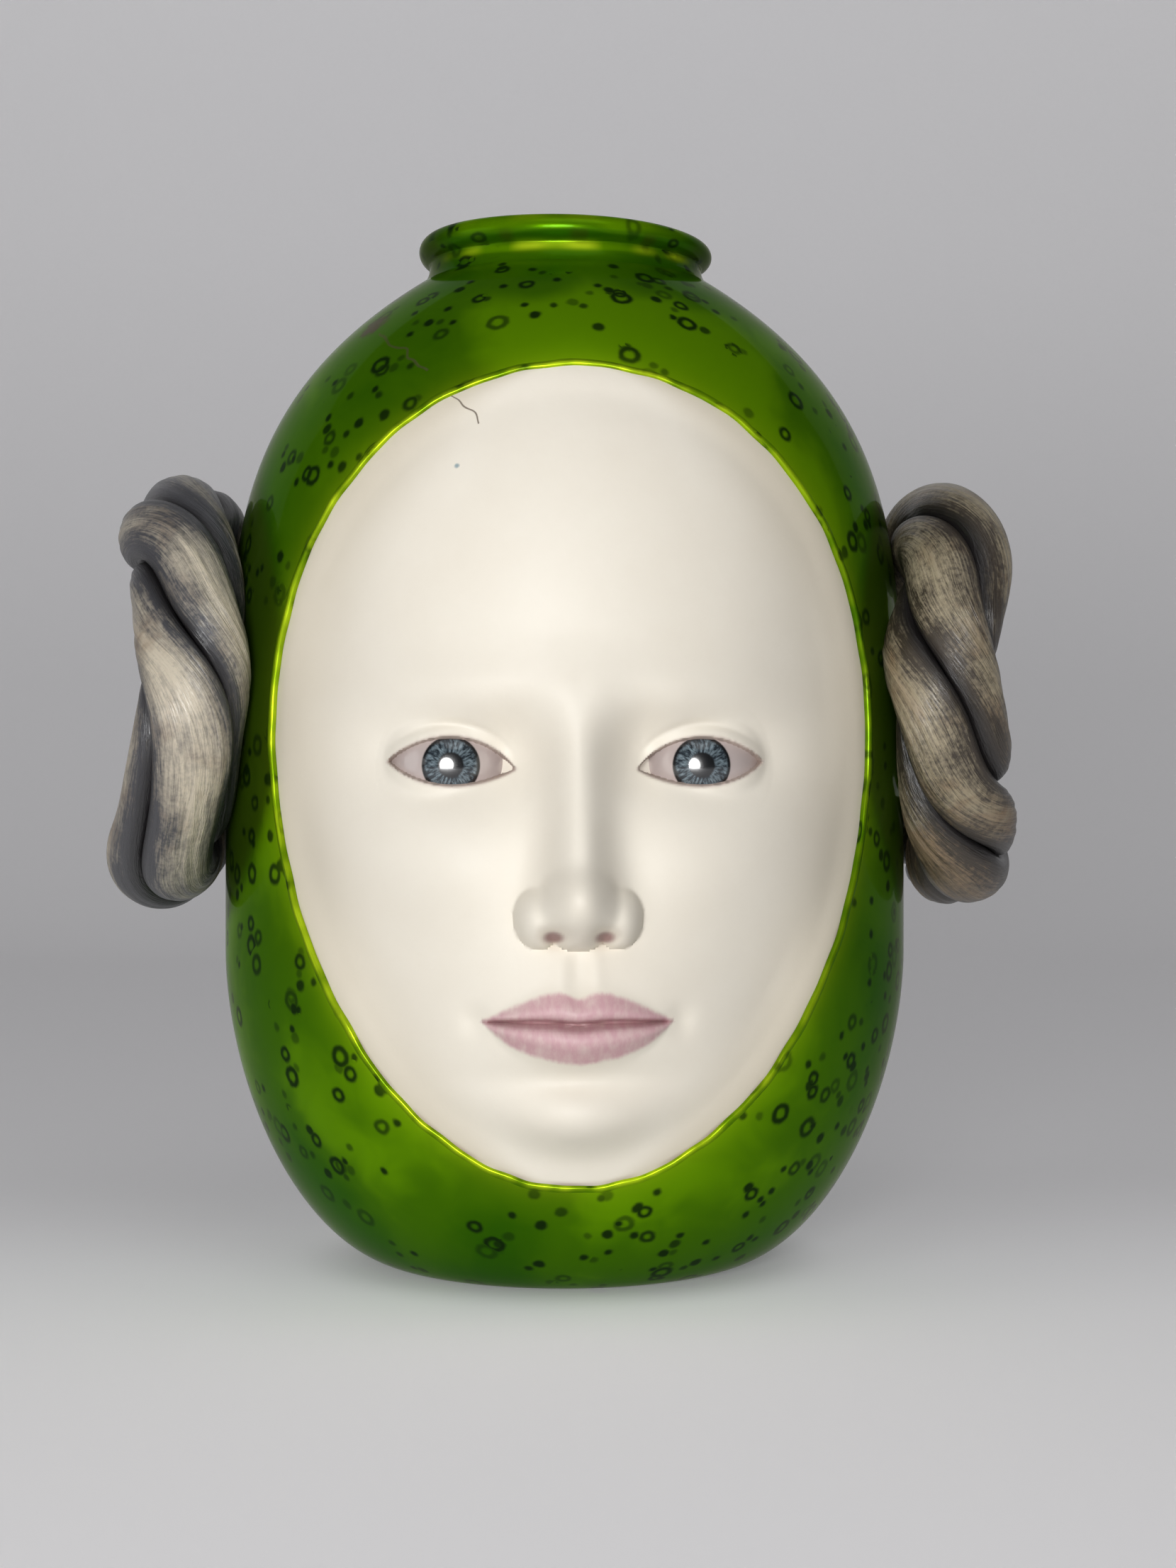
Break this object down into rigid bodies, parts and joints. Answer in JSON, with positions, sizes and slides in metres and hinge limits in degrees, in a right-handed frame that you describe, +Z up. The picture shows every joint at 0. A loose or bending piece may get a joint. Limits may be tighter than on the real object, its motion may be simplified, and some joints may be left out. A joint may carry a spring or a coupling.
{
  "type": "majolica vase",
  "caption": "Ovoid majolica head vase: a green glazed vessel with a rolled rim, an oval window that holds a pale sculpted face, and a coiled braid bun on each side.",
  "frame": {"origin": "centre of the flat foot, on the surface that the vase stands on", "axes": "+Z up through the mouth, -Y the way the face looks, +X to the right of someone who looks at the face"},
  "size_m": [0.3227, 0.2672, 0.3665],
  "materials": {
    "green_glaze": "glossy translucent majolica glaze with dark spots",
    "bead_glaze": "glossy glaze, thin and yellow-green over the ridge",
    "bare_clay": "unglazed fired clay",
    "face_slip": "smooth matt white slip with painted lips",
    "eye_glaze": "wet-looking glaze over painted irises",
    "hair_wash": "combed clay with a dark wash in the grooves, satin"
  },
  "bodies": {
    "root": {"body_shell": "green_glaze", "base_slab": "bare_clay", "neck_collar": "green_glaze", "window_bead": "bead_glaze", "face_mask": "face_slip", "left_eye": "eye_glaze", "right_eye": "eye_glaze", "left_braid_strand_1": "hair_wash", "left_braid_strand_2": "hair_wash", "left_braid_strand_3": "hair_wash", "right_braid_strand_1": "hair_wash", "right_braid_strand_2": "hair_wash", "right_braid_strand_3": "hair_wash"}
  },
  "joints": []
}
